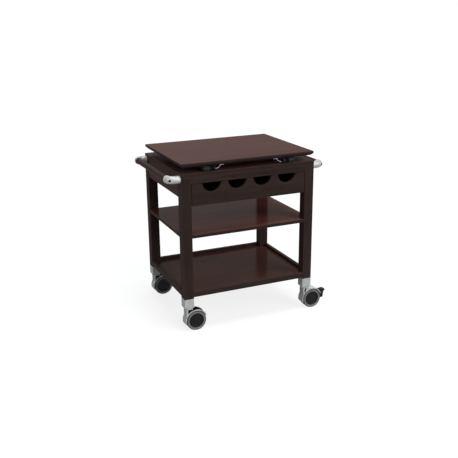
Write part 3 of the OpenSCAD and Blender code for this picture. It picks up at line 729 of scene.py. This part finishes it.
def neck(bm, corner, top_z, braked):
    """A core between two cheeks, each open beside the hood's rim; the core's sides and the
    groove in its leading face are painted black, as painted shade for the shadow in the
    crevices beside the rim.
    """
    core = neck_plate(corner, -NECK_HALF + CHEEK_T, 2 * (NECK_HALF - CHEEK_T),
                      [(NECK_TRAIL, top_z), (-NECK_LEAD, top_z),
                       *hood_line(-NECK_LEAD, NECK_TRAIL)], 0.4 * MM)
    # Painted shade: the core's sides, seen where the cheeks are open, take the black coat.
    for face in core.faces:
        face.material_index = int(abs(face.normal.y) > 0.5)
    centre = swivel(corner)
    pocket(core, -X, centre + Vector((0, -4 * MM, 80 * MM)),
           centre + Vector((0, 4 * MM, 112 * MM)), 4 * MM)
    join(bm, core)
    strap_z = top_z - STRAP_T
    profile = [(NECK_TRAIL, top_z), (-NECK_LEAD, top_z)]
    if braked:
        profile += [*hood_line(-NECK_LEAD, -12 * MM), (-6 * MM, strap_z), (4 * MM, strap_z),
                    *hood_line(-1 * MM, NECK_TRAIL)]
    else:
        profile += [*hood_line(-NECK_LEAD, -6 * MM), (-6 * MM, strap_z), (NECK_TRAIL, strap_z)]
    for y in (-NECK_HALF, NECK_HALF - CHEEK_T):
        join(bm, neck_plate(corner, y, CHEEK_T, profile, 0.8 * MM))


def ear(bm, corner, pin, y):
    """One of the two ears that hold a brake pedal's pin."""
    outline = [arc_point(corner, WEB_R, a, y) for a in (46, 40, 34, 28, 22, 17)]
    for k in range(13):
        a = math.radians(-75 + 15 * k)
        outline.append(Vector((pin.x + EAR_R * math.cos(a), swivel(corner).y + y,
                               pin.z + EAR_R * math.sin(a))))
    part = bmesh.new()
    plate(part, outline, EAR_T * Y)
    bevel(part, sharp_edges(part, 60), 0.6 * MM)
    for face in part.faces:
        face.material_index = 1
    join(bm, part)


def housing(corner):
    """One silver casting: head, neck, hood, the web between the wheels and a brake's ears."""
    head_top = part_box("housing_" + corner)[1].z
    bm = bmesh.new()
    head = [(STEM_BORE_R, -HEAD_H), (HEAD_R, -HEAD_H), (HEAD_R, 0), (STEM_BORE_R, 0)]
    turned(bm, rounded(head, [0, 1.5 * MM, 2.5 * MM, 0]), swivel(corner) + head_top * Z, Z, X)
    braked = corner in BRAKES.values()
    neck(bm, corner, head_top - HEAD_H / 2, braked)
    hood(bm, corner, braked)
    axle = axle_point(corner)
    web_from, web_in = math.radians(WEB_FROM), BOSS_R - 0.5 * MM
    web = [(web_in, -WEB_HALF), (WEB_R, -WEB_HALF), (WEB_R, WEB_HALF), (web_in, WEB_HALF)]
    turned(bm, web, axle, -Y, Vector((math.cos(web_from), 0, math.sin(web_from))), WEB_SWEEP,
           WEB_SWEEP // 2)
    turned(bm, [(AXLE_BORE_R, -WEB_HALF), (BOSS_R, -WEB_HALF), (BOSS_R, WEB_HALF),
                (AXLE_BORE_R, WEB_HALF)], axle, Y, X)
    for joint in frame["joints"]:
        if joint["child"].startswith("pedal") and joint["parent"].endswith(corner):
            pin = Vector(joint["pos_m"])
            ear(bm, corner, pin, EAR_IN)
            ear(bm, corner, pin, -EAR_IN - EAR_T)
    # Slot 1, the black coat, carries the painted shade on the hood's top, the neck's core and
    # its groove, and the ears' own black.
    finish_piece(bm, "housing_" + corner + "_casting", (SILVER, BLACK_METAL),
                 "housing_" + corner)


def sockets():
    """The square sleeves under the legs."""
    low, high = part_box("castor_sockets")
    bm = bmesh.new()
    for corner in CORNERS:
        leg_low, leg_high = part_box("leg_" + corner)
        soft_box(bm, Vector((*leg_low.xy, low.z)), Vector((*leg_high.xy, high.z)), LEG_ARRIS, 3)
    edge_band(bm, SOCKET_BAND)
    finish_piece(bm, "castor_sockets_sleeves", SILVER, "castor_sockets")


def brake_pedal(node, joint):
    """The pedal with its arm tapered, its edges rounded and grip ribs across its tread."""
    pin = Vector(joint["pos_m"])
    low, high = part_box(node)
    bm = cad_copy(node)
    foot = [v for v in bm.verts if v.co.z < low.z + MM and v.co.x > pin.x + ARM_TAPER]
    bmesh.ops.translate(bm, vec=-ARM_TAPER * X, verts=foot)
    bevel(bm, sharp_edges(bm, 40), 0.8 * MM, 2, clamp=False)
    for k in range(RIB_COUNT):
        x = RIB_FIRST + k * RIB_STEP
        surface = pin.z + TREAD_TOP - CROWN_R + math.sqrt(CROWN_R ** 2 - (x - CROWN_X) ** 2)
        soft_box(bm, Vector((pin.x + x - RIB_HALF, low.y + RIB_INSET, surface - MM)),
                 Vector((pin.x + x + RIB_HALF, high.y - RIB_INSET, surface + RIB_RISE)),
                 0.35 * MM)
    finish_piece(bm, node + "_ribbed", PEDAL_BLACK, node)


def castors():
    """The sockets, and for each leg its housing, wheels and axle, and the brakes."""
    sockets()
    for corner in CORNERS:
        housing(corner)
        tyres(corner)
        hubs(corner)
        paint("axle_" + corner, STEEL)
    for joint in frame["joints"]:
        if joint["child"].startswith("pedal"):
            brake_pedal("brake_" + joint["child"], joint)
    paint("castor_stems", STEEL)
    paint("swivel_washers", NYLON)


# The studio

FLOOR_GLOW = 0.82
FLOOR_COLOUR = (0.225, 0.23, 0.24)
FLOOR_HALF = 150
SKY_COLOUR, SKY_STRENGTH = (0.93, 0.96, 1.0), 0.12
CAMERA_LENS = 55.22
CAMERA_PLACE = (-1.3917, -3.1760, 1.5141)
CAMERA_TURN = (72.181, 0.501, -23.938)


def camera_share(tree):
    """1 for rays that come from the camera, a reflection or a clear surface, else 0."""
    rays = add_node(tree, "ShaderNodeLightPath")
    total = rays.outputs["Is Camera Ray"]
    for name in ("Is Glossy Ray", "Is Transmission Ray"):
        either = add_node(tree, "ShaderNodeMath", operation="MAXIMUM")
        tree.links.new(total, either.inputs[0])
        tree.links.new(rays.outputs[name], either.inputs[1])
        total = either.outputs[0]
    return total


def studio_floor():
    """A pale floor that reads white where it is lit and keeps the trolley's soft shadow."""
    material, tree, shader = new_material("studio_floor")
    shader.inputs["Base Color"].default_value = (*FLOOR_COLOUR, 1)
    shader.inputs["Roughness"].default_value = 0.9
    shader.inputs["Specular IOR Level"].default_value = 0.0
    glow = add_node(tree, "ShaderNodeEmission")
    glow.inputs["Strength"].default_value = FLOOR_GLOW
    both = add_node(tree, "ShaderNodeAddShader")
    choose = add_node(tree, "ShaderNodeMixShader")
    tree.links.new(shader.outputs["BSDF"], both.inputs[0])
    tree.links.new(glow.outputs["Emission"], both.inputs[1])
    tree.links.new(camera_share(tree), choose.inputs["Fac"])
    tree.links.new(shader.outputs["BSDF"], choose.inputs[1])
    tree.links.new(both.outputs["Shader"], choose.inputs[2])
    tree.links.new(choose.outputs["Shader"], tree.nodes["Material Output"].inputs["Surface"])
    bm = bmesh.new()
    bmesh.ops.create_grid(bm, x_segments=1, y_segments=1, size=FLOOR_HALF)
    mesh = bpy.data.meshes.new("floor")
    bm.to_mesh(mesh)
    bm.free()
    mesh.materials.append(material)
    floor = bpy.data.objects.new("floor", mesh)
    bpy.context.scene.collection.objects.link(floor)


def studio_world():
    """White to the camera and in reflections, and a weak cool light from all round."""
    world = bpy.data.worlds.new("studio")
    bpy.context.scene.world = world
    world.use_nodes = True
    tree = world.node_tree
    seen = tree.nodes["Background"]
    seen.inputs["Color"].default_value = (1, 1, 1, 1)
    seen.inputs["Strength"].default_value = 1.0
    light = add_node(tree, "ShaderNodeBackground")
    light.inputs["Color"].default_value = (*SKY_COLOUR, 1)
    light.inputs["Strength"].default_value = SKY_STRENGTH
    choose = add_node(tree, "ShaderNodeMixShader")
    tree.links.new(camera_share(tree), choose.inputs["Fac"])
    tree.links.new(light.outputs["Background"], choose.inputs[1])
    tree.links.new(seen.outputs["Background"], choose.inputs[2])
    tree.links.new(choose.outputs["Shader"], tree.nodes["World Output"].inputs["Surface"])


def soft_light(name, toward, spread_degrees, strength):
    """A far soft lamp that shines along a direction."""
    data = bpy.data.lights.new(name, "SUN")
    data.angle = math.radians(spread_degrees)
    data.energy = strength
    lamp = bpy.data.objects.new(name, data)
    lamp.rotation_euler = Vector(toward).to_track_quat("-Z", "Y").to_euler()
    bpy.context.scene.collection.objects.link(lamp)


def studio():
    studio_floor()
    studio_world()
    soft_light("overhead", (-0.08, 0.1, -1), 24, 1.58)
    soft_light("front", (-0.45, 1, -0.62), 50, 1.5)
    soft_light("back", (-0.1, -1, -0.6), 50, 0.5)
    soft_light("left", (1, 0.2, -0.45), 50, 0.42)


def camera():
    """The photo's viewpoint, fitted to the trolley's straight edges."""
    data = bpy.data.cameras.new("photo_camera")
    data.sensor_width = 36
    data.lens = CAMERA_LENS
    data.clip_end = 500
    viewer = bpy.data.objects.new("photo_camera", data)
    viewer.location = CAMERA_PLACE
    viewer.rotation_euler = [math.radians(a) for a in CAMERA_TURN]
    bpy.context.scene.collection.objects.link(viewer)
    bpy.context.scene.camera = viewer


woodwork()
handle_metal()
hinges()
castors()
studio()
camera()
bpy.context.scene.view_settings.view_transform = "Standard"
bpy.context.view_layer.update()
